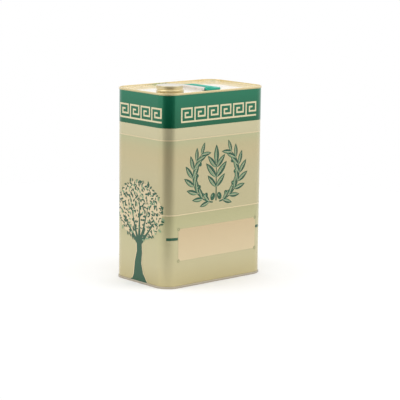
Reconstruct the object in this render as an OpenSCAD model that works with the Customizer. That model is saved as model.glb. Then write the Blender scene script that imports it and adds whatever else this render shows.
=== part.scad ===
// Five litre tinplate oil tin with a screw-capped pouring neck and a folding bail handle.
// Millimetres. The origin is the middle of the base, +Z is up, +X runs along the broad faces
// and -Y is the front.

/* [Body] */
// Length of the body along X
body_l = 180; // [160:1:220]
// Depth of the body along Y
body_d = 114; // [104:1:150]
// Height from the floor to the top of the upper seam
body_h = 264; // [180:1:320]
// Outside radius of the upright corners
corner_r = 20; // [16:0.5:28]
// Thickness of the body sheet
body_t = 0.28; // [0.24:0.01:0.34]
// Width of the lapped side weld
weld_w = 1.4; // [0.8:0.1:2]
// How far the weld stands out of the sheet
weld_h = 0.12; // [0.08:0.01:0.2]

/* [Ends] */
// Thickness of the top and bottom end sheet
end_t = 0.28; // [0.24:0.01:0.34]
// Height of the double seams
seam_h = 3; // [2.6:0.1:3.6]
// Free gap between the folded layers of a seam
seam_gap = 0.04; // [0.02:0.01:0.06]
// Bend radius over the top of a seam
seam_bend = 0.4; // [0.3:0.05:0.5]
// Length of the hooks folded inside a seam
hook_l = 1.9; // [1.6:0.1:2.1]
// Room left over the body hook, where the compound lies
head_room = 0.17; // [0.12:0.01:0.2]
// Depth of the end panels below the seam
panel_drop = 3.8; // [3.4:0.1:5]
// Depth of the groove round an end panel, below the panel
groove_h = 1.2; // [0.8:0.1:1.6]
// Width of the groove's flat floor
groove_w = 1.6; // [1:0.1:2.4]
// Distance of the base's strengthening bead from the body sheet
bead_in = 10; // [9:0.5:12]
// Width of the base's strengthening bead
bead_w = 4; // [3:0.5:5]
// Height of the base's strengthening bead
bead_h = 0.9; // [0.5:0.1:1.4]

/* [Neck] */
// Distance of the neck's axis from the short and long sides it stands next to
neck_inset = 28; // [26:0.5:34]
// Radius outside the neck's tube
neck_r = 16.5; // [15:0.25:17]
// Thickness of the neck's sheet
neck_t = 0.3; // [0.25:0.05:0.4]
// Height of the neck's mouth above the panel
neck_h = 10; // [9.5:0.25:12]
// Width of the flange that lies under the panel
neck_flange = 3.4; // [2.6:0.2:4.5]
// How far the bead stands out that grips the panel from above
grip_bead = 0.85; // [0.6:0.05:0.95]
// Thickness of the sealing ring under the panel
seal_t = 0.3; // [0.2:0.05:0.5]
// Rise of the thread in one turn
pitch = 3.2; // [2.9:0.1:3.6]
// Height of the neck's thread
thread_h = 0.85; // [0.7:0.05:0.95]
// Length of the neck's thread, as an angle
thread_turn = 450; // [360:10:500]

/* [Pouring spout] */
// Thickness of the plastic insert
spout_t = 1; // [0.8:0.1:1.4]
// Depth of the insert in the neck
spout_depth = 7; // [5:0.5:7.5]
// Radius of the pouring hole
pour_r = 6; // [4.5:0.25:7.5]
// Thickness of the rim that lies on the neck's mouth
rim_t = 0.7; // [0.5:0.05:1]
// Radius of the air hole
vent_r = 1.3; // [0.8:0.1:1.6]
// Clearance between the insert and the neck
spout_fit = 0.05; // [0.03:0.01:0.1]

/* [Cap] */
// Thickness of the cap's sheet
cap_t = 0.3; // [0.25:0.05:0.4]
// Radial room between the neck's thread and the cap's wall
thread_room = 0.35; // [0.3:0.05:0.5]
// Gap between the cap's rolled thread and the neck's tube
crest_room = 0.25; // [0.2:0.05:0.35]
// Radius of the bend round the cap's top
cap_bend = 1; // [0.6:0.1:1.4]
// Radius of the curl round the cap's lower edge, to the middle of the sheet
curl_r = 0.45; // [0.35:0.05:0.6]
// Gap between the cap's lower edge and the panel
cap_gap = 0.7; // [0.5:0.1:1]
// Thickness of the sealing liner
liner_t = 0.8; // [0.6:0.05:1.2]
// Gap above and below the liner
liner_gap = 0.06; // [0.04:0.01:0.1]

/* [Handle] */
// Place of the handle's pivot along X
pivot_x = 4; // [-4:0.5:8]
// Width of the handle over its arms
bail_w = 62; // [56:1:70]
// Reach from the pivot to the outer edge of the grip
bail_reach = 27; // [25:0.5:32]
// Width of an arm, along the pivot
arm_w = 5; // [4:0.5:7]
// Width of the grip, along X
grip_w = 10; // [8:0.5:11]
// Thickness of the grip
grip_t = 2.2; // [1.8:0.1:2.6]
// Radius of the pivot bar
bar_r = 1.5; // [1.3:0.1:1.6]
// Radius of the arms' round ends
eye_r = 1.8; // [1.8:0.05:2.4]
// Gap between the folded handle and the panel
bail_gap = 0.35; // [0.3:0.05:0.5]
// Radius of the handle's outer corners, seen from above
bail_corner = 8; // [4:0.5:9]
// Thickness of the bracket's sheet
bracket_t = 0.5; // [0.4:0.05:0.7]
// Running clearance round the pivot bar
bar_fit = 0.08; // [0.05:0.01:0.1]
// Gap between the bracket's end and an arm
arm_gap = 0.5; // [0.3:0.05:0.8]
// Width of each bracket foot
foot_w = 5; // [4:0.5:7]
// Number of spot welds along one foot
welds = 4; // [2:1:6]
// Radius of a spot weld
spot_r = 1.3; // [0.9:0.1:1.8]
// Depth of a spot weld
spot_h = 0.15; // [0.1:0.05:0.25]

/* [Hidden] */
$fn = 96;
eps = 0.02;

// Bends, laps and steps in the sheet that are too small to matter to the tin's size
plate_lap = 2;
hook_lap = 0.3;
wall_bend = 0.8;
compound_h = 0.22;
compound_gap = 0.03;
hole_fit = 0.1;
bend_steps = 4;
turn_steps = 6;

// Places across a seam, measured outwards from the body sheet's outer face
u_body = -body_t / 2;
u_chuck = -body_t - seam_gap - end_t / 2;
u_cover = seam_gap + end_t / 2;
u_hook = 2 * seam_gap + end_t + body_t / 2;
u_skirt = 3 * seam_gap + end_t + body_t + end_t / 2;
hook_top = end_t + head_room + body_t / 2;
cover_top = hook_top + body_t / 2 + hook_lap;
turn_r = (u_skirt - u_cover) / 2;

// Heights on the top end
panel_z = body_h - panel_drop;
under_z = panel_z - end_t;

// Round sizes of the neck and what fits in and on it
neck_x = -body_l / 2 + neck_inset;
neck_y = -body_d / 2 + neck_inset;
neck_in = neck_r - neck_t;
mouth_z = panel_z + neck_h;
hole_r = neck_r + hole_fit;
flange_r = neck_r + neck_flange;
rim_r = neck_r;
rim_z = mouth_z + rim_t;
cap_in = neck_r + thread_h + thread_room;
cap_out = cap_in + cap_t;
ridge_r = neck_r + crest_room;
liner_z = rim_z + liner_gap;
cap_roof = liner_z + liner_t + liner_gap;
cap_top = cap_roof + cap_t;
liner_reach = 0.3;
liner_r = cap_in - cap_bend + liner_reach;
cap_low = panel_z + cap_gap;

// The cap's rolled thread runs a set share of the pitch below the neck's, so their flanks
// never meet, however far the cap is turned
thread_base = 1.2;
thread_crest = 0.5;
ridge_base = 2;
ridge_crest = 0.7;
thread_lag = 0.44;
lead_in = 1.6;
thread_top = mouth_z - lead_in;
thread_z = thread_top - pitch * thread_turn / 360;
thread_start = -180;
ridge_z = thread_z - pitch * (thread_start / 360 + thread_lag);
steps = 45;
// Share of its height that a thread starts with, and how many such ramps make up its length
ramp_low = 0.1;
ramps = 6;

// Heights and places of the handle
pivot_z = panel_z + bail_gap + eye_r;
arm_in = bail_w / 2 - arm_w;
bracket_l = 2 * (arm_in - arm_gap);
saddle_r = bar_r + bar_fit;
foot_x = saddle_r + bracket_t;
bail_low = -eye_r;

function unit(v) = v / norm(v);
function left(v) = [-v[1], v[0]];
function way(p, i) = unit(p[i + 1] - p[i]);
// A corner of the outline at distance o beside the path's corner
function beside(p, i, o) =
    let (a = i > 0 ? way(p, i - 1) : way(p, i),
         b = i < len(p) - 1 ? way(p, i) : a,
         m = unit(left(a) + left(b)))
    p[i] + m * o / (m * left(a));
// Outline of a sheet of thickness t that follows a path
function sheet(p, t) = concat(
    [for (i = [0:len(p) - 1]) beside(p, i, t / 2)],
    [for (i = [len(p) - 1:-1:0]) beside(p, i, -t / 2)]);
function arc(c, r, a0, a1, n) =
    [for (i = [0:n]) let (a = a0 + (a1 - a0) * i / n) c + r * [cos(a), sin(a)]];

// Carries a section round the tin: x is the distance from the corner's centre
module round_tin() {
    for (q = [0:3]) {
        sx = q == 0 || q == 3 ? 1 : -1;
        sy = q < 2 ? 1 : -1;
        run = q % 2 == 0 ? body_d : body_l;
        reach = q % 2 == 0 ? body_l : body_d;
        translate([sx * (body_l / 2 - corner_r), sy * (body_d / 2 - corner_r), 0])
            rotate(90 * q) rotate_extrude(angle = 90) children();
        rotate(90 * q) translate([reach / 2 - corner_r, 0, 0]) rotate([90, 0, 0])
            linear_extrude(run - 2 * corner_r, center = true) children();
    }
}

module rounded_plate(inset, z, t) {
    r = corner_r - inset;
    l = body_l / 2 - inset;
    d = body_d / 2 - inset;
    translate([0, 0, z]) {
        translate([-l + r, -d, 0]) cube([2 * (l - r), 2 * d, t]);
        translate([-l, -d + r, 0]) cube([2 * l, 2 * (d - r), t]);
        for (sx = [-1, 1], sy = [-1, 1])
            translate([sx * (l - r), sy * (d - r), 0]) cylinder(r = r, h = t);
    }
}

module body_wall() {
    hook_end = hook_top + hook_l;
    path = [[u_hook, hook_end], [u_hook, hook_top], [u_body, hook_top],
            [u_body, body_h - hook_top], [u_hook, body_h - hook_top],
            [u_hook, body_h - hook_end]];
    color("darkkhaki") {
        round_tin() translate([corner_r, 0]) polygon(sheet(path, body_t));
        translate([body_l / 2 - eps, -weld_w / 2, seam_h + 1])
            cube([weld_h + eps, weld_w, body_h - 2 * seam_h - 2]);
    }
}

// One end in its own frame: the seam's crown at z = 0 and the panel below it
module end_section(beaded) {
    hook_z = -seam_h + end_t / 2 + turn_r;
    panel = -panel_drop - end_t / 2;
    floor_z = panel - groove_h;
    groove = u_chuck - wall_bend - groove_w;
    slope = 0.3;
    bead = beaded
        ? [[-bead_in - bead_w, panel], [-bead_in - bead_w * (1 - slope), panel + bead_h],
           [-bead_in - bead_w * slope, panel + bead_h], [-bead_in, panel]]
        : [[-bead_in, panel]];
    path = concat(
        [[-corner_r + plate_lap, panel]], bead,
        [[groove - groove_h * 0.8, panel], [groove, floor_z], [u_chuck - wall_bend, floor_z]],
        [[u_chuck, floor_z + wall_bend]],
        arc([u_chuck + seam_bend, -end_t / 2 - seam_bend], seam_bend, 180, 90, bend_steps),
        arc([u_skirt - seam_bend, -end_t / 2 - seam_bend], seam_bend, 90, 0, bend_steps),
        arc([u_skirt - turn_r, hook_z], turn_r, 0, -180, turn_steps),
        [[u_cover, -cover_top]]);
    translate([corner_r, 0]) polygon(sheet(path, end_t));
}

module end_plate(beaded) {
    round_tin() end_section(beaded);
    rounded_plate(corner_r - 2 * plate_lap, -panel_drop - end_t, end_t);
}

module top_end() {
    color("gold") difference() {
        translate([0, 0, body_h]) end_plate(false);
        translate([neck_x, neck_y, under_z - 1]) cylinder(r = hole_r, h = end_t + 2);
    }
}

module bottom_end() {
    color("goldenrod") mirror([0, 0, 1]) end_plate(true);
}

// Sealing compound between the two hooks of a seam
module seam_compound() {
    w = end_t * 0.8;
    color("dimgray") round_tin()
        translate([corner_r + u_cover - w / 2, -cover_top + compound_gap]) square([w, compound_h]);
}

module top_seam_compound() { translate([0, 0, body_h]) seam_compound(); }

module bottom_seam_compound() { mirror([0, 0, 1]) seam_compound(); }

// A thread as one swept bar: the section is [radius, height] and thins out at both ends
module helix(section, z0, a0, turn, root) {
    n = len(section);
    points = [for (i = [0:steps]) let (a = a0 + turn * i / steps,
                                       fade = min(1, ramp_low + ramps * i / steps,
                                                   ramp_low + ramps * (1 - i / steps)))
              for (p = section) let (r = root + (p[0] - root) * fade)
                  [r * cos(a), r * sin(a), z0 + pitch * (a - a0) / 360 + p[1]]];
    sides = [for (i = [0:steps - 1], j = [0:n - 1], half = [0, 1])
             let (k = (j + 1) % n, a = i * n + j, b = i * n + k)
                 half == 0 ? [a, a + n, b] : [b, a + n, b + n]];
    ends = [for (j = [1:n - 2], e = [0, 1])
            e == 0 ? [0, j, j + 1] : [steps * n, steps * n + j + 1, steps * n + j]];
    polyhedron(points, concat(sides, ends), convexity = 6);
}

// A section for helix: its foot is sunk into the wall at r0 and its crest is at r1
function bar_section(r0, r1, base, crest) =
    let (s = sign(r0 - r1) / 2)
    [[r0, s * base], [r0, -s * base], [r1, -s * crest], [r1, s * crest]];

module neck() {
    bead_top = panel_z + 1.5;
    bend = 0.2;
    root_r = neck_r - 0.1;
    ring_z = under_z - seal_t - neck_t / 2;
    wall_r = neck_r - neck_t / 2;
    path = [[flange_r, ring_z], [wall_r + bend, ring_z], [wall_r, ring_z + bend],
            [wall_r, panel_z + bend / 2], [wall_r + grip_bead, panel_z + 1.5 * neck_t],
            [wall_r + grip_bead, bead_top - 2 * bend], [wall_r, bead_top + 2 * bend],
            [wall_r, mouth_z]];
    color("khaki") translate([neck_x, neck_y, 0]) {
        rotate_extrude() polygon(sheet(path, neck_t));
        helix(bar_section(root_r, neck_r + thread_h, thread_base, thread_crest),
              thread_z, thread_start, thread_turn, root_r);
    }
}

module neck_seal() {
    color("dimgray") translate([neck_x, neck_y, under_z - seal_t]) difference() {
        cylinder(r = flange_r - 0.3, h = seal_t);
        translate([0, 0, -1]) cylinder(r = neck_r + 0.2, h = seal_t + 2);
    }
}

// Plastic insert: a rim on the mouth, a plug in the neck and a pouring tube in the middle
module pour_spout() {
    plug_r = neck_in - spout_fit;
    floor_z = mouth_z - spout_depth;
    tube_r = pour_r + spout_t;
    taper = 0.6;
    lip = 0.3;
    outline = [[pour_r, floor_z], [plug_r - taper, floor_z], [plug_r, floor_z + taper],
               [plug_r, mouth_z], [rim_r, mouth_z], [rim_r, rim_z],
               [plug_r - spout_t, rim_z], [plug_r - spout_t, floor_z + spout_t],
               [tube_r, floor_z + spout_t], [tube_r, rim_z - 2 * lip], [pour_r + lip, rim_z - lip],
               [pour_r, rim_z - 2 * lip]];
    vent_at = (tube_r + plug_r - spout_t) / 2;
    color("ivory") translate([neck_x, neck_y, 0]) difference() {
        rotate_extrude() polygon(outline);
        rotate(135) translate([vent_at, 0, floor_z - 1]) cylinder(r = vent_r, h = spout_t + 2);
    }
}

module cap_shell() {
    wall_r = cap_in + cap_t / 2;
    roof = cap_top - cap_t / 2;
    low = cap_low + cap_t / 2 + curl_r;
    curl_end = 450;
    path = concat(
        arc([wall_r - cap_bend, roof - cap_bend], cap_bend, 90, 0, 2 * bend_steps),
        arc([wall_r + curl_r, low], curl_r, 180, curl_end, 2 * turn_steps));
    skin = cap_t + 0.05;
    step_in = 0.27;
    root_r = cap_in + cap_t / 2;
    cut_r = cap_out + 0.2;
    slope = (ridge_base - ridge_crest) / 2 / (root_r - ridge_r);
    color("tan") translate([neck_x, neck_y, 0]) difference() {
        union() {
            rotate_extrude() polygon(sheet(path, cap_t));
            translate([0, 0, cap_roof]) cylinder(r = wall_r - cap_bend + eps, h = cap_t);
            helix(bar_section(root_r, ridge_r, ridge_base, ridge_crest),
                  ridge_z, 0, thread_turn, root_r);
        }
        helix(bar_section(cut_r, ridge_r + skin,
                          ridge_crest + 2 * (cut_r - ridge_r) * slope - 2 * step_in,
                          ridge_crest + 2 * skin * slope - 2 * step_in),
              ridge_z, 0, thread_turn, cut_r);
    }
}

module cap_liner() {
    color("white") translate([neck_x, neck_y, liner_z]) cylinder(r = liner_r, h = liner_t);
}

// Side outline of the handle, with the pivot at the origin and the grip towards +X
module bail_side() {
    tip = bail_reach;
    thin = bail_low + grip_t;
    soft = 0.6;
    circle(r = eye_r);
    polygon([[0, bail_low], [tip - soft, bail_low], [tip, bail_low + soft],
             [tip, thin - soft], [tip - soft, thin], [tip - grip_w, thin],
             eye_r * [cos(60), sin(60)], [0, eye_r]]);
}

// The handle from above, with its finger opening
module bail_plan() {
    h = bail_w / 2;
    c = bail_corner;
    inner = 3;
    difference() {
        union() {
            translate([-eye_r, -h]) square([bail_reach + eye_r - c, 2 * h]);
            translate([0, -h + c]) square([bail_reach, 2 * (h - c)]);
            for (s = [-1, 1]) translate([bail_reach - c, s * (h - c)]) circle(r = c);
        }
        translate([-eye_r - 1, -arm_in]) square([bail_reach - grip_w + eye_r + 1 - inner, 2 * arm_in]);
        translate([0, -arm_in + inner]) square([bail_reach - grip_w, 2 * (arm_in - inner)]);
        for (s = [-1, 1])
            translate([bail_reach - grip_w - inner, s * (arm_in - inner)]) circle(r = inner);
    }
}

module handle_bail() {
    color("mediumseagreen") translate([pivot_x, 0, pivot_z]) {
        intersection() {
            rotate([90, 0, 0]) linear_extrude(bail_w, center = true) bail_side();
            linear_extrude(3 * eye_r, center = true) bail_plan();
        }
        rotate([90, 0, 0]) cylinder(r = bar_r, h = bail_w - arm_w, center = true);
    }
}

// Bent tinplate saddle over the pivot bar, spot welded to the panel along both feet
module handle_bracket() {
    drop = pivot_z - panel_z;
    step = bracket_l / welds;
    color("silver") translate([pivot_x, 0, pivot_z]) difference() {
        rotate([90, 0, 0]) linear_extrude(bracket_l, center = true) difference() {
            union() {
                circle(r = foot_x);
                translate([-foot_x, -drop]) square([2 * foot_x, drop]);
                translate([-foot_x - foot_w, -drop]) square([2 * (foot_x + foot_w), bracket_t]);
            }
            circle(r = saddle_r);
            translate([-saddle_r, -drop - 1]) square([2 * saddle_r, drop + 1]);
        }
        for (s = [-1, 1], i = [0:welds - 1])
            translate([s * (foot_x + foot_w / 2), (i + 0.5) * step - bracket_l / 2,
                       -drop + bracket_t - spot_h])
                cylinder(r = spot_r, h = 1);
    }
}

body_wall();
top_end();
bottom_end();
top_seam_compound();
bottom_seam_compound();
neck();
neck_seal();
pour_spout();
cap_shell();
cap_liner();
handle_bail();
handle_bracket();
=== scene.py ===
"""Looks of the five litre oil tin: its printed and lacquered tinplate, screw cap and handle."""
from itertools import count
from math import atan2, ceil, cos, degrees, dist, pi, radians, sin, sqrt
from random import Random

import bmesh
import bpy
from mathutils import Matrix, Vector


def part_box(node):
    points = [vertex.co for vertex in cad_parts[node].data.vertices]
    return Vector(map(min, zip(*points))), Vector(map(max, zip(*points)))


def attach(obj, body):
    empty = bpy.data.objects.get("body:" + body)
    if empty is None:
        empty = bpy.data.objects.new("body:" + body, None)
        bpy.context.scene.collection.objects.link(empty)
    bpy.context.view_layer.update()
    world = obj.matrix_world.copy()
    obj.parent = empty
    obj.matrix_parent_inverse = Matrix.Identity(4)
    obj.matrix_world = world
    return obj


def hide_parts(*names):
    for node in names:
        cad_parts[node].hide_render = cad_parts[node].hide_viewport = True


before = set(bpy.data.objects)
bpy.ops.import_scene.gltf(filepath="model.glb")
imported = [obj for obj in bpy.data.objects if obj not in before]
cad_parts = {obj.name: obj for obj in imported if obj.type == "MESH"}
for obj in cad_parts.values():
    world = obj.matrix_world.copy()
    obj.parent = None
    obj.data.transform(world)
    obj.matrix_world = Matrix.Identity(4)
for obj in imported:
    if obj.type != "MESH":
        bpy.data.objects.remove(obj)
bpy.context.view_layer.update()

MM = 0.001

# Sizes of the tin in millimetres, as its solids have them
_, tin_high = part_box("top_end")
BODY_T = 0.28
END_T = 0.28
SEAM_GAP = 0.04
SEAM_H = 3.0
SEAM_BEND = 0.4
SKIRT_BULGE = 0.14
SEAM_PROUD = 3 * SEAM_GAP + 2 * END_T + BODY_T
HALF_L = tin_high.x / MM - SEAM_PROUD
HALF_D = tin_high.y / MM - SEAM_PROUD
BODY_H = tin_high.z / MM
CORNER_R = 20.0
CORE = Vector((HALF_L - CORNER_R, HALF_D - CORNER_R))
PANEL_DROP = 3.8
PANEL_BEND = 0.5
PANEL_EDGE = CORNER_R - 2.5
GROOVE_H = 1.2
GROOVE_W = 1.6
GROOVE_BEND = 0.8
GROOVE_SLOPE = 0.8
HOOK_ROOM = 0.17
HOOK_L = 1.9
HOOK_TUCK = 0.3
HOOK_TOP = END_T + HOOK_ROOM + BODY_T / 2
HOOK_END = HOOK_TOP + HOOK_L
BEAD_IN = 10.0
BEAD_W = 4.0
BEAD_H = 0.9
WELD_W = 1.4
WELD_T = 0.24
WELD_MARGIN = 3
WELD_ENDS = 0.8

# The neck's axis and the cap's screw, in millimetres
cap_low, cap_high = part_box("cap_shell")
neck_low, neck_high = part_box("neck")
NECK = Vector(((cap_low.x + cap_high.x) / 2 / MM, (cap_low.y + cap_high.y) / 2 / MM))
NECK_FLANGE = 3.4
NECK_ROOM = 0.1
NECK_HOLE = (neck_high.x - neck_low.x) / 2 / MM - NECK_FLANGE + NECK_ROOM
NECK_RISE = 10
MOUTH_Z = BODY_H - PANEL_DROP + NECK_RISE
PITCH = 3.2
THREAD_DROP = 1.6
THREAD_TURNS = 1.25
THREAD_LAG = 0.06
CAP_T = 0.3
CURL_R = 0.45
CAP_WALL = (cap_high.x - cap_low.x) / 2 / MM - CAP_T / 2 - 2 * CURL_R
SKIRT_OUT = 0.65
SKIRT_Z = 268.3
SKIRT_SLOPE = 2.2
THREAD_START = MOUTH_Z - THREAD_DROP - THREAD_TURNS * PITCH + THREAD_LAG * PITCH
THREAD_END = 360 * THREAD_TURNS
THREAD_FADE = 40
THREAD_DEPTH = 0.85
THREAD_HALF = 1.35

# The print's layout in millimetres, with heights above the floor
BAND_LOW = 217.4
BAND_HIGH = BODY_H - SEAM_H + 0.4
UPPER_LINE = 201.2
LOWER_LINE = 100.2
LINE_H = 1.3
BORDER_Z = BAND_LOW + 6.5
BORDER_LINE = 2.3
BORDER_H = 20.0
BAR_Z = 68.0
BAR_H = 3.8
INK_T = 0.05
INK_STEP = 0.05


def linear(colour):
    """An sRGB hex colour as linear red, green, blue and alpha."""
    parts = [int(colour[i:i + 2], 16) / 255 for i in (1, 3, 5)]
    return tuple(c / 12.92 if c <= 0.04045 else ((c + 0.055) / 1.055) ** 2.4 for c in parts) + (1,)


def add(tree, kind, inputs=None, links=None, **settings):
    """Adds a node, with its settings, its sockets' own values and the links into it."""
    made = tree.nodes.new(kind)
    for name, value in settings.items():
        setattr(made, name, value)
    for socket, value in (inputs or {}).items():
        made.inputs[socket].default_value = value
    for socket, source in (links or {}).items():
        tree.links.new(source, made.inputs[socket])
    return made


def empty_material(name):
    material = bpy.data.materials.new(name)
    material.use_nodes = True
    material.node_tree.nodes.clear()
    return material, material.node_tree


# Materials

def sheet_bump(tree, ripple=0.02, grain=0.001):
    """Thin sheet is never quite flat: slow ripples, and a fine grain from the rolling mill."""
    coords = add(tree, "ShaderNodeTexCoord").outputs["Object"]
    slow = add(tree, "ShaderNodeTexNoise", {"Scale": 9, "Detail": 0.0}, {"Vector": coords})
    fine = add(tree, "ShaderNodeTexNoise", {"Scale": 1800, "Detail": 2.0}, {"Vector": coords})
    first = add(tree, "ShaderNodeBump", {"Strength": 1.0, "Distance": ripple * MM},
                {"Height": slow.outputs["Fac"]})
    both = add(tree, "ShaderNodeBump", {"Strength": 0.5, "Distance": grain * MM},
               {"Height": fine.outputs["Fac"], "Normal": first.outputs["Normal"]})
    return both.outputs["Normal"]


def varied(tree, low, high, scale):
    """A roughness that wanders between two values in patches of the given scale."""
    coords = add(tree, "ShaderNodeTexCoord").outputs["Object"]
    noise = add(tree, "ShaderNodeTexNoise", {"Scale": scale, "Detail": 2.0}, {"Vector": coords})
    return add(tree, "ShaderNodeMapRange", {"From Min": 0.0, "From Max": 1.0, "To Min": low,
                                            "To Max": high},
               {"Value": noise.outputs["Fac"]}).outputs["Result"]


def coated_sheet(name, colour, metallic, rough, patches, coat, coat_rough):
    """Sheet under ink or lacquer. Its colour is one tone, or a function that adds its nodes."""
    material, tree = empty_material(name)
    links = {"Normal": sheet_bump(tree), "Roughness": varied(tree, *rough, patches)}
    inputs = {"Metallic": metallic, "Coat Weight": coat, "Coat Roughness": coat_rough}
    if callable(colour):
        links["Base Color"] = colour(tree)
    else:
        inputs["Base Color"] = linear(colour)
    shader = add(tree, "ShaderNodeBsdfPrincipled", inputs, links)
    add(tree, "ShaderNodeOutputMaterial", links={"Surface": shader.outputs["BSDF"]})
    return material


def lithographed(name, colour, metallic=0.55, rough=(0.24, 0.28)):
    """Ink printed on tinplate under clear varnish: the ink lets some metal shine through."""
    return coated_sheet(name, colour, metallic, rough, 12, 0.35, 0.12)


def lacquered(name, colour, rough, coat):
    """Tinplate under a clear gold lacquer: a warm mirror, blurred a little by the lacquer."""
    return coated_sheet(name, colour, 0.95, rough, 15, coat, 0.08)


# Gold-beige ground print, greener just under each line
GROUND_TONES = ((0, "#c0b384"), (30, "#c3ba91"), (58, "#c1ba90"), (88, "#b9b588"),
                (LOWER_LINE - 0.2, "#b5b184"), (LOWER_LINE + 0.2, "#beb58c"), (150, "#c1b78f"),
                (175, "#c3b68c"), (188, "#c0b68c"), (UPPER_LINE - 0.2, "#b9b98f"),
                (UPPER_LINE + 0.2, "#c8c09a"), (BAND_LOW, "#cbc39c"))
# The green band deepens downwards
BAND_TONES = ((BAND_LOW, "#095f3e"), (BAND_HIGH, "#1a7656"))
# The plain panel is a little deeper towards its top
LABEL_TONES = ((37, "#d7c49e"), (81, "#cdb78f"))
# The flat panel's near-white is painted glare over the gold lacquer, which shows deeper on the
# folded rim, and deepest on the rim's outside, with painted shade low on its skirt
END_TONES_AND_GLARE = ((259.5, "#fcf4e2"), (262, "#f5e6bc"), (263.6, "#e7d19d"))
RIM_TONES_AND_SHADE = ((261.2, "#9f9669"), (262.6, "#d9c795"), (264, "#e6d19e"))
# How far outside the body's face the rim's outer tones, with their painted shade, start, and where
# they are full
RIM_START = 0.1
RIM_FULL = 0.6
# The cap's lacquer carries a painted highlight that makes it palest on its wall, and painted shade
# that makes it deepest in its curled edge
CAP_TONES_LIGHT_AND_SHADE = ((261.4, "#a8956a"), (263.4, "#d9c897"), (269.2, "#dac998"), (270.6, "#c9b98b"),
             (272, "#c9bd9a"))
# The height at which every set of tones ends
TONES_TOP = 272.2


def by_height(tones):
    """A function that makes the nodes for a colour that changes with height on the tin."""
    def make(tree):
        coords = add(tree, "ShaderNodeTexCoord").outputs["Object"]
        height = add(tree, "ShaderNodeSeparateXYZ", links={"Vector": coords}).outputs["Z"]
        share = add(tree, "ShaderNodeMapRange", {"From Min": 0.0, "From Max": TONES_TOP * MM},
                    {"Value": height}).outputs["Result"]
        ramp = add(tree, "ShaderNodeValToRGB", links={"Fac": share})
        stops = ramp.color_ramp.elements
        while len(stops) < len(tones):
            stops.new(0.5)
        for stop, (z, colour) in zip(stops, tones):
            stop.position = z / TONES_TOP
            stop.color = linear(colour)
        return ramp.outputs["Color"]
    return make


def end_tones_and_painted_light(tree):
    """The ends' colour: one set of tones inside the body's outline, with painted glare on the
    panel, and another outside it, with painted shade low on the rim.
    """
    coords = add(tree, "ShaderNodeTexCoord").outputs["Object"]
    aside = add(tree, "ShaderNodeVectorMath", links={0: coords}, operation="ABSOLUTE")
    past = add(tree, "ShaderNodeVectorMath", {1: (CORE.x * MM, CORE.y * MM, BODY_H * MM)},
               {0: aside.outputs["Vector"]}, operation="SUBTRACT")
    beyond = add(tree, "ShaderNodeVectorMath", {1: (0, 0, 0)}, {0: past.outputs["Vector"]},
                 operation="MAXIMUM")
    reach = add(tree, "ShaderNodeVectorMath", links={0: beyond.outputs["Vector"]},
                operation="LENGTH")
    outside = add(tree, "ShaderNodeMapRange", {"From Min": (CORNER_R + RIM_START) * MM,
                                               "From Max": (CORNER_R + RIM_FULL) * MM},
                  {"Value": reach.outputs["Value"]})
    return add(tree, "ShaderNodeMix", links={"Factor": outside.outputs["Result"],
                                             "A": by_height(END_TONES_AND_GLARE)(tree),
                                             "B": by_height(RIM_TONES_AND_SHADE)(tree)},
               data_type="RGBA").outputs["Result"]


def bright_tinplate():
    """Bare tinplate: bright rolled tin with fine lines along the sheet."""
    material, tree = empty_material("bright_tinplate")
    coords = add(tree, "ShaderNodeTexCoord").outputs["Object"]
    stretched = add(tree, "ShaderNodeMapping", {"Scale": (1.0, 0.03, 1.0)}, {"Vector": coords})
    lines = add(tree, "ShaderNodeTexNoise", {"Scale": 2500, "Detail": 2.0},
                {"Vector": stretched.outputs["Vector"]})
    bump = add(tree, "ShaderNodeBump", {"Strength": 0.4, "Distance": 0.003 * MM},
               {"Height": lines.outputs["Fac"]})
    shader = add(tree, "ShaderNodeBsdfPrincipled",
                 {"Base Color": linear("#e7e2dc"), "Metallic": 1.0},
                 {"Normal": bump.outputs["Normal"], "Roughness": varied(tree, 0.18, 0.3, 80)})
    add(tree, "ShaderNodeOutputMaterial", links={"Surface": shader.outputs["BSDF"]})
    return material


def moulded_polypropylene():
    """Green polypropylene from a mould: a soft gloss over a faintly grained skin."""
    material, tree = empty_material("green_polypropylene")
    coords = add(tree, "ShaderNodeTexCoord").outputs["Object"]
    grain = add(tree, "ShaderNodeTexNoise", {"Scale": 1500, "Detail": 3.0}, {"Vector": coords})
    bump = add(tree, "ShaderNodeBump", {"Strength": 0.35, "Distance": 0.02 * MM},
               {"Height": grain.outputs["Fac"]})
    tint = add(tree, "ShaderNodeTexNoise", {"Scale": 60, "Detail": 2.0}, {"Vector": coords})
    colour = add(tree, "ShaderNodeMix", {"A": linear("#2fab93"), "B": linear("#3ab8a0")},
                 {"Factor": tint.outputs["Fac"]}, data_type="RGBA")
    shader = add(tree, "ShaderNodeBsdfPrincipled",
                 {"IOR": 1.49, "Specular IOR Level": 0.2, "Subsurface Weight": 0.12,
                  "Subsurface Radius": (0.001, 0.002, 0.0015)},
                 {"Base Color": colour.outputs["Result"], "Normal": bump.outputs["Normal"],
                  "Roughness": varied(tree, 0.42, 0.52, 90)})
    add(tree, "ShaderNodeOutputMaterial", links={"Surface": shader.outputs["BSDF"]})
    return material


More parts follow.
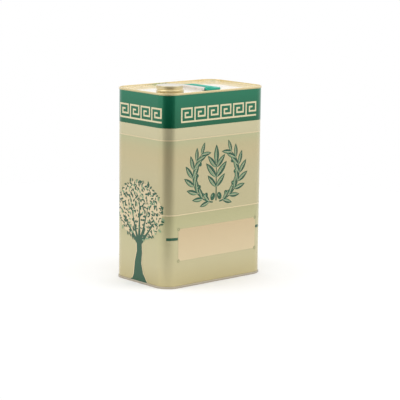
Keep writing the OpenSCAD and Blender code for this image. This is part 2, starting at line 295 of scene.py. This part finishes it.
def soft_plastic(name, colour, rough=(0.38, 0.5), milky=0.35, grit=700):
    """Polyethylene, solid or foamed: waxy, and light sinks into it a little."""
    material, tree = empty_material(name)
    coords = add(tree, "ShaderNodeTexCoord").outputs["Object"]
    grain = add(tree, "ShaderNodeTexNoise", {"Scale": grit, "Detail": 3.0}, {"Vector": coords})
    bump = add(tree, "ShaderNodeBump", {"Strength": 0.4, "Distance": 0.03 * MM},
               {"Height": grain.outputs["Fac"]})
    shader = add(tree, "ShaderNodeBsdfPrincipled",
                 {"Base Color": linear(colour), "IOR": 1.51, "Subsurface Weight": milky,
                  "Subsurface Radius": (0.003, 0.003, 0.0025)},
                 {"Normal": bump.outputs["Normal"], "Roughness": varied(tree, *rough, 120)})
    add(tree, "ShaderNodeOutputMaterial", links={"Surface": shader.outputs["BSDF"]})
    return material


def sealing_compound():
    """Dried rubber compound: dull grey with a grainy skin."""
    material, tree = empty_material("sealing_compound")
    coords = add(tree, "ShaderNodeTexCoord").outputs["Object"]
    grain = add(tree, "ShaderNodeTexNoise", {"Scale": 900, "Detail": 4.0}, {"Vector": coords})
    bump = add(tree, "ShaderNodeBump", {"Strength": 0.6, "Distance": 0.05 * MM},
               {"Height": grain.outputs["Fac"]})
    shader = add(tree, "ShaderNodeBsdfPrincipled", {"Base Color": linear("#4c4b48")},
                 {"Normal": bump.outputs["Normal"], "Roughness": varied(tree, 0.6, 0.8, 200)})
    add(tree, "ShaderNodeOutputMaterial", links={"Surface": shader.outputs["BSDF"]})
    return material


GROUND = lithographed("ground_print", by_height(GROUND_TONES))
GREEN_BAND = lithographed("green_band_print", by_height(BAND_TONES), 0.6, (0.18, 0.22))
DARK_GREEN = lithographed("dark_green_print", "#1d5238", metallic=0.3)
LIGHT_GREEN = lithographed("light_green_print", "#7f9c76", metallic=0.35)
RING_TONE = lithographed("ring_print", "#8f9068", metallic=0.4)
CREAM = lithographed("cream_print", "#e2d5ad", metallic=0.25)
PALE_LINE = lithographed("pale_line_print", "#dccaa2", metallic=0.4)
PEACH = lithographed("peach_print", by_height(LABEL_TONES), metallic=0.4)
CROWN_TONE = lithographed("crown_print", "#d9c7a0", metallic=0.4)
# The ends' tones carry painted glare on the panel and painted shade low on the rim's outside
GOLD = lacquered("gold_lacquered_tinplate", end_tones_and_painted_light, (0.22, 0.3), 1.0)
# The cap's tones carry a painted highlight on its wall and painted shade in its curled edge
CAP_GOLD = lacquered("gold_lacquered_cap", by_height(CAP_TONES_LIGHT_AND_SHADE), (0.35, 0.4), 1.0)
CLEAR_TIN = lacquered("clear_lacquered_tinplate", "#b5ab99", (0.3, 0.38), 0.4)
TINPLATE = bright_tinplate()
GREEN_PLASTIC = moulded_polypropylene()
POLYETHYLENE = soft_plastic("natural_polyethylene", "#ebe8dc")
FOAM = soft_plastic("foamed_polyethylene", "#f0efe9", rough=(0.6, 0.75), milky=0.2, grit=400)
COMPOUND = sealing_compound()


# Making pieces

def piece(name, bm, material, body, replaced=(), crease=35):
    """Turns a bmesh in millimetres into a named piece that rides on a body."""
    bmesh.ops.scale(bm, vec=(MM, MM, MM), verts=bm.verts)
    mesh = bpy.data.meshes.new(name)
    for face in bm.faces:
        face.smooth = True
    bm.to_mesh(mesh)
    bm.free()
    mesh.set_sharp_from_angle(angle=radians(crease))
    mesh.materials.append(material)
    made = bpy.data.objects.new(name, mesh)
    bpy.context.scene.collection.objects.link(made)
    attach(made, body)
    if replaced:
        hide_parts(*replaced)
    return made


def flatten(made):
    """Keeps the shading of flat faces flat where they meet small bends."""
    shading = made.modifiers.new("flat_faces", "WEIGHTED_NORMAL")
    shading.keep_sharp = True
    return made


def thicken(made, thickness):
    """Gives a surface in the middle of a sheet the sheet's thickness."""
    solid = made.modifiers.new("sheet", "SOLIDIFY")
    solid.thickness = thickness * MM
    solid.offset = 0.0
    return flatten(made)


def solid_copy(node, flat_angle=0.5):
    """A CAD node's mesh in millimetres, with its loose triangles joined into whole faces."""
    bm = bmesh.new()
    bm.from_mesh(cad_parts[node].data)
    bmesh.ops.scale(bm, vec=(1 / MM,) * 3, verts=bm.verts)
    bmesh.ops.remove_doubles(bm, verts=bm.verts, dist=0.0005)
    bmesh.ops.dissolve_limit(bm, angle_limit=radians(flat_angle), verts=bm.verts, edges=bm.edges)
    return bm


def round_off(made, width, steps=3, angle=40):
    bevel = made.modifiers.new("edges", "BEVEL")
    bevel.width = width * MM
    bevel.segments = steps
    bevel.limit_method = "ANGLE"
    bevel.angle_limit = radians(angle)
    bevel.harden_normals = True
    return made


def arc(cx, cz, r, start, end, steps):
    return [(cx + r * cos(radians(start + (end - start) * i / steps)),
             cz + r * sin(radians(start + (end - start) * i / steps))) for i in range(steps + 1)]


def place_on_tin(vert, out, z):
    """Puts a vertex at a distance outside the body's face, measured square to the outline."""
    core = Vector((max(-CORE.x, min(CORE.x, vert.co.x)), max(-CORE.y, min(CORE.y, vert.co.y))))
    way = (vert.co.xy - core).normalized()
    vert.co = (core + way * (CORNER_R + out)).to_3d()
    vert.co.z = z


def tin_outline(bm, corner_steps=24, hold=1.0):
    """The tin's rounded outline as a loop of edges, with a held edge beside each bend."""
    bmesh.ops.create_grid(bm, x_segments=1, y_segments=1, size=1)
    bmesh.ops.scale(bm, vec=(HALF_L, HALF_D, 1), verts=bm.verts)
    bmesh.ops.bevel(bm, geom=bm.verts[:], offset=CORNER_R, offset_type="OFFSET",
                    segments=corner_steps, profile=0.5, affect="VERTICES", material=-1)
    bmesh.ops.delete(bm, geom=bm.faces[:], context="FACES_ONLY")
    for way, reach in (((1, 0, 0), CORE.x), ((0, 1, 0), CORE.y)):
        for side in (-1, 1):
            bmesh.ops.bisect_plane(bm, geom=bm.verts[:] + bm.edges[:], dist=0.001,
                                   plane_co=Vector(way) * side * (reach - hold), plane_no=way)
    return bm.edges[:]


def carry_round(bm, path, corner_steps=24):
    """Carries a path of (distance outside the body, height) round the tin."""
    edges = tin_outline(bm, corner_steps)
    for vert in bm.verts:
        place_on_tin(vert, *path[0])
    for out, z in path[1:]:
        made = bmesh.ops.extrude_edge_only(bm, edges=edges)["geom"]
        for vert in (v for v in made if isinstance(v, bmesh.types.BMVert)):
            place_on_tin(vert, out, z)
        edges = [e for e in made if isinstance(e, bmesh.types.BMEdge)]
        rim = {v for v in made if isinstance(v, bmesh.types.BMVert)}
        edges = [e for e in edges if e.verts[0] in rim and e.verts[1] in rim]
    return edges


def end_path(beaded):
    """An end from its folded hook, over the seam's crown and down to the panel. Crown at 0."""
    u_chuck = -BODY_T - SEAM_GAP - END_T / 2
    u_cover = SEAM_GAP + END_T / 2
    u_skirt = SEAM_PROUD - END_T / 2
    turn = (u_skirt - u_cover) / 2
    panel = -PANEL_DROP - END_T / 2
    floor = panel - GROOVE_H
    groove = u_chuck - GROOVE_BEND - GROOVE_W
    top = -END_T / 2 - SEAM_BEND
    lowest = -SEAM_H + END_T / 2 + turn
    path = [(u_cover - SKIRT_BULGE, -HOOK_TOP - BODY_T / 2 - HOOK_TUCK)]
    path += arc(u_skirt - turn - SKIRT_BULGE, lowest, turn, -180, -15, 8)
    path += [(u_skirt - SKIRT_BULGE * (2 * i / 8 - 1) ** 2, lowest + (top - lowest) * i / 8)
             for i in range(1, 8)]
    path += arc(u_skirt - SEAM_BEND - SKIRT_BULGE, top, SEAM_BEND, 15, 90, 6)
    path += arc(u_chuck + SEAM_BEND, top, SEAM_BEND, 90, 180, 6)
    path += arc(u_chuck - GROOVE_BEND, floor + GROOVE_BEND, GROOVE_BEND, 0, -90, 5)
    path += arc(groove, floor + PANEL_BEND, PANEL_BEND, -90, -140, 4)
    path += arc(groove - GROOVE_H * GROOVE_SLOPE, panel - PANEL_BEND, PANEL_BEND, 40, 90, 4)
    if beaded:
        inner = -BEAD_IN - BEAD_W
        swell = [(i / 10, BEAD_H * sin(pi * i / 10) ** 2) for i in range(11)]
        path += [(-BEAD_IN + s * (inner + BEAD_IN), panel + h) for s, h in swell]
    return path + [(-PANEL_EDGE, panel)]


def make_end(name, node, flip, hole):
    bm = bmesh.new()
    edges = carry_round(bm, end_path(beaded=flip))
    if hole:
        inner = bmesh.ops.create_circle(bm, segments=72, radius=NECK_HOLE)["verts"]
        z = edges[0].verts[0].co.z
        bmesh.ops.translate(bm, vec=(NECK.x, NECK.y, z), verts=inner)
        edges = edges + list({e for v in inner for e in v.link_edges})
    bmesh.ops.triangle_fill(bm, use_beauty=True, edges=edges, normal=(0, 0, 1))
    if flip:
        bmesh.ops.mirror(bm, geom=bm.verts[:] + bm.edges[:] + bm.faces[:], axis="Z")
        bmesh.ops.delete(bm, geom=[v for v in bm.verts if v.co.z < -1e-6], context="VERTS")
    else:
        bmesh.ops.translate(bm, vec=(0, 0, BODY_H), verts=bm.verts)
    bmesh.ops.recalc_face_normals(bm, faces=bm.faces)
    finish = CLEAR_TIN if flip else GOLD
    return thicken(piece(name, bm, finish, "root", (node,)), END_T)


def make_body():
    u_body, u_hook = -BODY_T / 2, 2 * SEAM_GAP + END_T + BODY_T / 2
    path = [(u_hook, HOOK_END), (u_hook, HOOK_TOP), (u_body, HOOK_TOP),
            (u_body, BODY_H - HOOK_TOP), (u_hook, BODY_H - HOOK_TOP), (u_hook, BODY_H - HOOK_END)]
    bm = bmesh.new()
    carry_round(bm, path)
    bmesh.ops.recalc_face_normals(bm, faces=bm.faces)
    return thicken(piece("printed_body", bm, GROUND, "root", ("body_wall",)),
                   BODY_T)


def printed_ring(name, low, high, material, layer):
    """A printed stripe that runs all round the tin."""
    bm = bmesh.new()
    carry_round(bm, [(INK_T * layer, low), (INK_T * layer, high)])
    return piece(name, bm, material, "root")


# For each face of the tin, the way to the right as one looks at it and the way out of it
FACES = {"front": ((1, 0), (0, -1)), "back": ((-1, 0), (0, 1)),
         "left": ((0, -1), (-1, 0)), "right": ((0, 1), (1, 0))}


def on_face(face, s, z, layer):
    """A point s to the right of a face's middle; past the flat it follows the corner."""
    right, out = (Vector(way) for way in FACES[face])
    run, deep = abs(right.dot(CORE)), abs(out.dot(CORE))
    side = right if s > 0 else -right
    past = max(0.0, abs(s) - run) / CORNER_R
    way = side * sin(past) + out * cos(past)
    spot = side * min(abs(s), run) + out * deep + way * (CORNER_R + INK_T * layer)
    return spot.to_3d() + Vector((0, 0, z))


def levels(shapes):
    """A level for each shape, so that no two whose boxes overlap lie on the same one."""
    boxes = []
    for rungs in shapes:
        xs, zs = zip(*(point for rung in rungs for point in rung))
        box = min(xs), max(xs), min(zs), max(zs)
        taken = {level for level, (x0, x1, z0, z1) in boxes
                 if x0 < box[1] and box[0] < x1 and z0 < box[3] and box[2] < z1}
        boxes.append((next(n for n in count() if n not in taken), box))
    return [level for level, _ in boxes]


def printed(name, face, shapes, material, layer):
    """Prints flat shapes on a face. A shape is a list of rungs: pairs of (s, z) points."""
    bm = bmesh.new()
    for rungs, level in zip(shapes, levels(shapes)):
        lift = layer + INK_STEP * level
        rows = [[bm.verts.new(on_face(face, s, z, lift)) for s, z in rung] for rung in rungs]
        for (a, b), (c, d) in zip(rows, rows[1:]):
            bm.faces.new((a, b, d, c))
    bmesh.ops.remove_doubles(bm, verts=bm.verts, dist=0.0005)
    outward = Vector(FACES[face][1]).to_3d()
    bmesh.ops.reverse_faces(bm, faces=[f for f in bm.faces if f.normal.dot(outward) < 0])
    return piece(name, bm, material, "root")


def resampled(points, widths, longest=2.5):
    """Adds points and widths to a line, so that it can follow the tin's corners."""
    spots, wide = [points[0]], [widths[0]]
    for a, b, v, w in zip(points, points[1:], widths, widths[1:]):
        parts = max(1, ceil(dist(a, b) / longest))
        for i in range(1, parts + 1):
            spots.append((a[0] + (b[0] - a[0]) * i / parts, a[1] + (b[1] - a[1]) * i / parts))
            wide.append(v + (w - v) * i / parts)
    return spots, wide


def stroke(points, widths):
    """A line through the points, with mitred corners, as wide as given at each point."""
    points, widths = resampled(points, widths)
    spots = [Vector(p) for p in points]
    ways = [(b - a).normalized() for a, b in zip(spots, spots[1:])]
    rungs = []
    for i, (spot, width) in enumerate(zip(spots, widths)):
        before, after = ways[max(0, i - 1)], ways[min(i, len(ways) - 1)]
        aside = (before + after).normalized()
        aside = Vector((-aside.y, aside.x))
        reach = width / 2 / max(0.5, aside.dot(Vector((-before.y, before.x))))
        rungs.append((tuple(spot + aside * reach), tuple(spot - aside * reach)))
    return rungs


def placed(rungs, turn, at, size=1.0):
    """A shape turned by an angle in degrees, scaled and moved."""
    c, s = cos(radians(turn)) * size, sin(radians(turn)) * size
    return [tuple((at[0] + x * c - y * s, at[1] + x * s + y * c) for x, y in rung)
            for rung in rungs]


def leaf(length, width, low=-1.0, high=1.0, steps=10):
    """A leaf that grows from the origin along +X, between two shares of its half width."""
    rungs = []
    for i in range(steps + 1):
        t = i / steps
        half = 0.02 + sin(pi * t ** 0.9) ** 0.85 * width / 2
        rungs.append(((length * t, half * high), (length * t, half * low)))
    return rungs


def oval(long, wide, steps=14):
    """An ellipse round the origin, or a disc if its two radii are equal."""
    turns = [pi * i / steps for i in range(steps + 1)]
    return [((-long * cos(t), 0.01 + wide * sin(t)), (-long * cos(t), -wide * sin(t)))
            for t in turns]


def ring(at, radius, width, steps=32):
    turns = [2 * pi * i / steps for i in range(steps + 1)]
    return [tuple((at[0] + r * cos(t), at[1] + r * sin(t)) for r in
                  (radius + width / 2, radius - width / 2)) for t in turns]


def key_border(start, end, hooks, line=BORDER_LINE):
    """A key-pattern border: hooks that stand on a base line, between two ends."""
    step = (end - start) / hooks
    grid = (BORDER_H - line) / 4
    base = BORDER_Z + line / 2
    shapes = [stroke([(start, base), (end - step + 4 * grid + line, base)], [line] * 2)]
    for i in range(hooks):
        x = start + line / 2 + i * step
        hook = [(0, line / 2), (0, 4 * grid), (4 * grid, 4 * grid), (4 * grid, 1.35 * grid),
                (1.4 * grid, 1.35 * grid), (1.4 * grid, 2.7 * grid), (2.7 * grid, 2.7 * grid)]
        shapes.append(stroke([(x + a, base + b) for a, b in hook], [line] * len(hook)))
    return shapes


def make_band_borders():
    """The borders on the green band. On the right they keep clear of the weld."""
    for face in ("front", "back"):
        printed(face + "_border", face, key_border(-66, 73, 6), CREAM, 2.5)
    printed("left_border", "left", key_border(-43.5, 47, 4), CREAM, 2.5)
    printed("right_border", "right", key_border(-50, -6.5, 2) + key_border(6.5, 50, 2), CREAM, 2.5)


def sprig(line, leaves, length, width, spread, sides=(-1, 1)):
    """Leaves along a line: their outlines, their lit halves and their midribs."""
    whole, lit, ribs = [], [], []
    for i in range(leaves):
        t = (i + 0.5) / leaves
        at, way = line(t)
        for side in sides:
            turn = way + side * spread
            size = 1 - 0.25 * abs(2 * t - 1)
            whole.append(placed(leaf(length, width), turn, at, size))
            lit.append(placed(leaf(length * 0.9, width * 0.8, 0.15, 0.85), turn, at, size))
            ribs.append(placed(leaf(length * 0.85, 0.5), turn, at, size))
    return whole, lit, ribs


def make_wreath(face):
    """A wreath of olive leaves, open at the top, round an upright sprig with olives."""
    middle, wide, tall = (-2.0, 149.0), 42.0, 38.0

    def half(side):
        def line(t):
            a = radians(-82 + 140 * t)
            at = (middle[0] + side * wide * cos(a), middle[1] + tall * sin(a))
            way = degrees(atan2(tall * cos(a), -side * wide * sin(a)))
            return at, way
        return line

    def upright(t):
        return (middle[0], middle[1] - 24 + 40 * t), 90.0

    tip = upright(0.95)[0]
    dark, lit, ribs = [], [], []
    for line, leaves, length, width, spread in ((half(-1), 8, 23.0, 7.6, 32),
                                                (half(1), 8, 23.0, 7.6, 32),
                                                (upright, 3, 28.0, 9.0, 42)):
        for made, found in zip((dark, lit, ribs), sprig(line, leaves, length, width, spread)):
            made.extend(found)
    dark.append(placed(leaf(27, 9), 90, tip))
    lit.append(placed(leaf(24, 7.2, 0.15, 0.85), 90, tip))
    ribs.append(placed(leaf(23, 0.5), 90, tip))
    dark.append(stroke([(middle[0], middle[1] - 36), tip], [2.2, 1.2]))
    for side in (-1, 1):
        line = half(side)
        stem = [line(i / 24)[0] for i in range(25)]
        dark.append(stroke(stem, [2 - 0.05 * i for i in range(25)]))
        for i in range(4):
            at, way = line(0.16 + 0.22 * i)
            inner = radians(way + side * 90)
            spot = (at[0] + 6 * cos(inner), at[1] + 6 * sin(inner))
            dark.append(placed(oval(4.3, 3.2), way + side * 90, spot))
            lit.append(placed(oval(1.4, 0.6), way + side * 90, (spot[0] - 1, spot[1] + 1)))
        spot = (middle[0] + side * 6, middle[1] - 30)
        dark.append(placed(oval(5.4, 3.9), 90 + side * 25, spot))
        lit.append(placed(oval(1.8, 0.7), 90 + side * 25, (spot[0] - 1.2, spot[1] + 1.2)))
    printed(face + "_wreath_leaves", face, dark, DARK_GREEN, 1)
    printed(face + "_wreath_lights", face, lit, LIGHT_GREEN, 2)
    printed(face + "_wreath_ribs", face, ribs, CREAM, 3)


def scattered(middle, wide, tall, apart, tries=6000):
    """Places spread over an ellipse, none closer to another than the given distance."""
    chance = Random(11)
    spots = []
    for _ in range(tries):
        x, y = chance.uniform(-1, 1), chance.uniform(-1, 1)
        spot = (middle[0] + wide * x, middle[1] + tall * y)
        if x * x + y * y < 1 and all(dist(spot, other) > apart for other in spots):
            spots.append(spot)
    return spots


def make_side_tree():
    """A round-crowned tree: a forked trunk, and small leaves spread over a pale crown."""
    middle, wide, tall = (0.0, 101.0), 46.0, 40.0
    fork = (0.0, 60.0)
    trunk = [(0, 2.5), (0, 6), (-1, 13), (-2, 28), (1, 44), fork]
    widths = [38, 29, 20, 14, 11, 11]
    halo = stroke(trunk, [width + 3.2 for width in widths])
    dark = [stroke(trunk, widths)]
    for reach, rise in ((-33, 28), (-18, 48), (1, 62), (19, 49), (33, 29)):
        bend = (fork[0] + reach * 0.5, fork[1] + rise * 0.36)
        dark.append(stroke([(fork[0] + reach * 0.06, fork[1] - 5), bend,
                            (fork[0] + reach, fork[1] + rise)], [6, 3.2, 0.8]))
    crown = []
    for i in range(121):
        share = (i - 60) / 60
        half = tall * sqrt(1 - share ** 2)
        ripple = 1.1 * sin(41 * share) + 0.7 * sin(97 * share)
        crown.append(((middle[0] + wide * share, middle[1] + half + ripple),
                      (middle[0] + wide * share, middle[1] - half + ripple)))
    lit = []
    for i, at in enumerate(scattered(middle, wide, tall, 3.3)):
        turn = degrees(atan2(at[1] - middle[1] + 14, at[0] - middle[0])) + 70 * sin(1.3 * i)
        made = lit if i % 6 == 0 else dark
        made.append(placed(leaf(5.6, 2.5, steps=5), turn, at, 1 + 0.2 * sin(5.1 * i)))
    printed("tree_crown", "left", [crown, halo], CROWN_TONE, 1.5)
    printed("tree_leaves", "left", dark, DARK_GREEN, 2)
    printed("tree_lights", "left", lit, LIGHT_GREEN, 3)


def make_label(face):
    """A plain panel to write on, with scooped corners and a bar at each side."""
    left, right, low, high, scoop = -68.5, 71.5, 37.5, 81.0, 3.0
    gap, bar_left, bar_right = 0.8, 18, 8
    ring_r, ring_w = 1.6, 0.9
    rungs, rings = [], []
    for i in range(9):
        x = scoop * i / 8
        rungs.append((x, sqrt(max(0.0, scoop ** 2 - x ** 2))))
    panel = [((left + x, high - z), (left + x, low + z)) for x, z in rungs]
    panel += [((right - x, high - z), (right - x, low + z)) for x, z in rungs[::-1]]
    for x in (left, right):
        rings += [ring((x, z), ring_r, ring_w) for z in (low, high)]
    printed(face + "_label_panel", face, [panel], PEACH, 1)
    printed(face + "_label_rings", face, rings, RING_TONE, 1.5)
    bars = [stroke([(left - bar_left, BAR_Z), (left - gap, BAR_Z)], [BAR_H] * 2),
            stroke([(right + gap, BAR_Z), (right + bar_right, BAR_Z)], [BAR_H] * 2)]
    printed(face + "_label_bars", face, bars, DARK_GREEN, 1)


def make_weld():
    """The lapped weld down the right side, between margins that carry no print."""
    low, high = SEAM_H + WELD_ENDS, BODY_H - SEAM_H - WELD_ENDS
    margins = [((-WELD_MARGIN, z), (WELD_MARGIN, z)) for z in (low, high)]
    printed("weld_margins", "right", [margins], CLEAR_TIN, 2.5)
    bm = bmesh.new()
    bmesh.ops.create_cube(bm, size=1)
    bmesh.ops.scale(bm, vec=(WELD_T, WELD_W, high - low), verts=bm.verts)
    bmesh.ops.translate(bm, vec=(HALF_L, 0, (low + high) / 2), verts=bm.verts)
    piece("side_weld", bm, CLEAR_TIN, "root")


def smooth(t):
    """Rises from 0 to 1 as t does, softly at both ends."""
    t = max(0.0, min(1.0, t))
    return t * t * (3 - 2 * t)


def thread_depth(point):
    """How deep the rolled thread's groove is at a point of the cap's wall."""
    turn = degrees(atan2(point.y, point.x)) % 360
    deepest = 0.0
    while turn <= THREAD_END:
        away = abs(point.z - THREAD_START - PITCH * turn / 360) / THREAD_HALF
        fade = min(1, turn / THREAD_FADE, (THREAD_END - turn) / THREAD_FADE)
        if away < 1:
            deepest = max(deepest, THREAD_DEPTH * fade * cos(away * pi / 2) ** 2)
        turn += 360
    return deepest


def make_cap():
    """The screw cap: a spun shell with the thread's groove pressed into its wall."""
    roof = cap_high.z / MM - CAP_T / 2
    low = cap_low.z / MM + CAP_T / 2 + CURL_R
    bend, dish, rows = 1.0, 0.3, 52
    top_z = roof - bend
    path = [(0.001, roof - dish), (13.4, roof - dish), (13.8, roof - 0.22), (14.2, roof - 0.06)]
    path += arc(CAP_WALL - bend, roof - bend, bend, 90, 0, 8)
    for i in range(1, rows):
        z = top_z + (low - top_z) * i / rows
        path.append((CAP_WALL + SKIRT_OUT * smooth((SKIRT_Z - z) / SKIRT_SLOPE), z))
    path += arc(CAP_WALL + CURL_R, low, CURL_R, 140, 450, 14)
    bm = bmesh.new()
    verts = [bm.verts.new((x, 0, z)) for x, z in path]
    edges = [bm.edges.new(pair) for pair in zip(verts, verts[1:])]
    bmesh.ops.spin(bm, geom=verts + edges, cent=(0, 0, 0), axis=(0, 0, 1), angle=2 * pi,
                   steps=160, use_merge=True)
    bmesh.ops.remove_doubles(bm, verts=bm.verts, dist=0.002)
    for vert in bm.verts:
        radius = vert.co.xy.length
        if low < vert.co.z < top_z and radius > CAP_WALL - 0.01:
            vert.co.xy *= (radius - thread_depth(vert.co)) / radius
    bmesh.ops.translate(bm, vec=NECK.to_3d(), verts=bm.verts)
    bmesh.ops.recalc_face_normals(bm, faces=bm.faces)
    return thicken(piece("screw_cap", bm, CAP_GOLD, "cap", ("cap_shell",)), CAP_T)


def make_fittings():
    """The pieces that keep the CAD model's shape, with their edges rounded or bends shaded."""
    neck = piece("threaded_neck", solid_copy("neck"), GOLD, "root", ("neck",))
    flatten(neck)
    bracket = piece("pivot_bracket", solid_copy("handle_bracket"), TINPLATE, "root",
                    ("handle_bracket",), crease=25)
    flatten(bracket)
    round_off(piece("pouring_insert", solid_copy("pour_spout"), POLYETHYLENE, "root",
                    ("pour_spout",)), 0.15, 2)
    round_off(piece("foam_liner", solid_copy("cap_liner"), FOAM, "cap_lift_body",
                    ("cap_liner",)), 0.15, 2)
    round_off(piece("folding_handle", solid_copy("handle_bail"), GREEN_PLASTIC, "handle",
                    ("handle_bail",)), 0.45)
    for node in ("top_seam_compound", "bottom_seam_compound", "neck_seal"):
        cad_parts[node].data.materials.clear()
        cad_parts[node].data.materials.append(COMPOUND)


# Studio

CAMERA_AZIMUTH = -41.3
CAMERA_ELEVATION = 10.45
CAMERA_ROLL = 0.7
CAMERA_FAR = 2186.4
CAMERA_ASIDE = (14.06, -26.62)
CAMERA_AIM = (0, 0, 132)
FOCAL_PX = 1576.97
FRAME_PX = 400
SENSOR = 36.0
# How far the studio's dark patch reaches to each side, in degrees
PATCH_REACH = 48
PATCH_LOW_REACH = 25
# The floor and the lamps, in metres
FLOOR_R = 0.8
FADE_START = 0.05
LAMP_AWAY = 1.5
LAMP_HEIGHT = 1.9
LAMP_SIZE = 1.2
LAMP_AIM = 0.13
LAMP_WATTS = 7.0


def make_camera():
    """The photograph's camera, fitted to the tin's edges. Distances are in millimetres."""
    a, e, r = radians(CAMERA_AZIMUTH), radians(CAMERA_ELEVATION), radians(CAMERA_ROLL)
    back = Vector((sin(a) * cos(e), -cos(a) * cos(e), sin(e)))
    right = Vector((cos(a), sin(a), 0))
    up = back.cross(right)
    right, up = right * cos(r) + up * sin(r), up * cos(r) - right * sin(r)
    eye = Vector(CAMERA_AIM) + back * CAMERA_FAR + right * CAMERA_ASIDE[0] + up * CAMERA_ASIDE[1]
    data = bpy.data.cameras.new("camera")
    data.sensor_width = SENSOR
    data.lens = FOCAL_PX * SENSOR / FRAME_PX
    data.clip_end = 50
    camera = bpy.data.objects.new("camera", data)
    turn = Matrix((right, up, back)).transposed().to_4x4()
    camera.matrix_world = Matrix.Translation(eye * MM) @ turn
    bpy.context.scene.collection.objects.link(camera)
    bpy.context.scene.camera = camera


def make_world():
    """A white studio with one dark patch, low down on the side the photographer stands on."""
    world = bpy.data.worlds.new("studio")
    bpy.context.scene.world = world
    world.use_nodes = True
    tree = world.node_tree
    tree.nodes.clear()
    a = radians(CAMERA_AZIMUTH)
    coords = add(tree, "ShaderNodeTexCoord").outputs["Generated"]
    flat = add(tree, "ShaderNodeVectorMath", {1: (1, 1, 0)}, {0: coords}, operation="MULTIPLY")
    unit = add(tree, "ShaderNodeVectorMath", links={0: flat.outputs["Vector"]},
               operation="NORMALIZE")
    facing = add(tree, "ShaderNodeVectorMath", {1: (sin(a), -cos(a), 0)},
                 {0: unit.outputs["Vector"]}, operation="DOT_PRODUCT")
    height = add(tree, "ShaderNodeSeparateXYZ", links={"Vector": coords}).outputs["Z"]
    limit = add(tree, "ShaderNodeMapRange",
                {"From Min": -0.2, "From Max": -0.13, "To Min": cos(radians(PATCH_LOW_REACH)),
                 "To Max": cos(radians(PATCH_REACH))}, {"Value": height})
    inside = add(tree, "ShaderNodeMath", links={0: facing.outputs["Value"],
                                                1: limit.outputs["Result"]}, operation="SUBTRACT")
    sides = add(tree, "ShaderNodeMapRange", {"From Min": -0.06, "From Max": 0.06},
                {"Value": inside.outputs["Value"]}, interpolation_type="SMOOTHSTEP")
    top = add(tree, "ShaderNodeMapRange", {"From Min": 0.08, "From Max": -0.03},
              {"Value": height}, interpolation_type="SMOOTHSTEP")
    foot = add(tree, "ShaderNodeMapRange", {"From Min": -0.55, "From Max": -0.35},
               {"Value": height}, interpolation_type="SMOOTHSTEP")
    span = add(tree, "ShaderNodeMath", links={0: top.outputs["Result"],
                                              1: foot.outputs["Result"]}, operation="MULTIPLY")
    dark = add(tree, "ShaderNodeMath", links={0: sides.outputs["Result"],
                                              1: span.outputs["Value"]}, operation="MULTIPLY")
    room = add(tree, "ShaderNodeMix", {"A": linear("#ffffff"), "B": linear("#161616")},
               {"Factor": dark.outputs["Value"]}, data_type="RGBA")
    rays = add(tree, "ShaderNodeLightPath").outputs
    seen = add(tree, "ShaderNodeMix", {"B": linear("#ffffff")},
               {"Factor": rays["Is Camera Ray"], "A": room.outputs["Result"]}, data_type="RGBA")
    light = add(tree, "ShaderNodeBackground", {"Strength": 1.0}, {"Color": seen.outputs["Result"]})
    add(tree, "ShaderNodeOutputWorld", links={"Surface": light.outputs["Background"]})


def make_floor():
    """White paper that gives way to the white studio with distance."""
    bm = bmesh.new()
    bmesh.ops.create_circle(bm, cap_ends=True, segments=96, radius=FLOOR_R)
    mesh = bpy.data.meshes.new("floor")
    bm.to_mesh(mesh)
    bm.free()
    material, tree = empty_material("studio_floor")
    coords = add(tree, "ShaderNodeTexCoord").outputs["Object"]
    away = add(tree, "ShaderNodeVectorMath", links={0: coords}, operation="LENGTH")
    fade = add(tree, "ShaderNodeMapRange", {"From Min": FADE_START, "From Max": FLOOR_R},
               {"Value": away.outputs["Value"]})
    paper = add(tree, "ShaderNodeBsdfDiffuse", {"Color": linear("#ffffff")})
    clear = add(tree, "ShaderNodeBsdfTransparent")
    mixed = add(tree, "ShaderNodeMixShader", links={0: fade.outputs["Result"],
                                                    1: paper.outputs["BSDF"],
                                                    2: clear.outputs["BSDF"]})
    add(tree, "ShaderNodeOutputMaterial", links={"Surface": mixed.outputs["Shader"]})
    mesh.materials.append(material)
    floor = bpy.data.objects.new("floor", mesh)
    bpy.context.scene.collection.objects.link(floor)


def make_lamps():
    for name, azimuth in (("left_box", -120), ("right_box", 40)):
        data = bpy.data.lights.new(name, "AREA")
        data.shape = "SQUARE"
        data.size = LAMP_SIZE
        data.energy = LAMP_WATTS
        lamp = bpy.data.objects.new(name, data)
        a = radians(azimuth)
        lamp.location = (LAMP_AWAY * sin(a), -LAMP_AWAY * cos(a), LAMP_HEIGHT)
        back = lamp.location - Vector((0, 0, LAMP_AIM))
        lamp.rotation_mode = "QUATERNION"
        lamp.rotation_quaternion = back.to_track_quat("Z", "Y")
        bpy.context.scene.collection.objects.link(lamp)


bpy.context.scene.view_settings.view_transform = "Standard"
make_camera()
make_world()
make_floor()
make_lamps()

make_body()
make_end("top_end_panel", "top_end", flip=False, hole=True)
make_end("bottom_end_panel", "bottom_end", flip=True, hole=False)
printed_ring("green_band", BAND_LOW, BAND_HIGH, GREEN_BAND, 1)
printed_ring("upper_line", UPPER_LINE - LINE_H / 2, UPPER_LINE + LINE_H / 2, PALE_LINE, 1)
printed_ring("lower_line", LOWER_LINE - LINE_H / 2, LOWER_LINE + LINE_H / 2, PALE_LINE, 1)
make_band_borders()
for printed_face in ("front", "back"):
    make_wreath(printed_face)
    make_label(printed_face)
make_side_tree()
make_weld()
make_cap()
make_fittings()
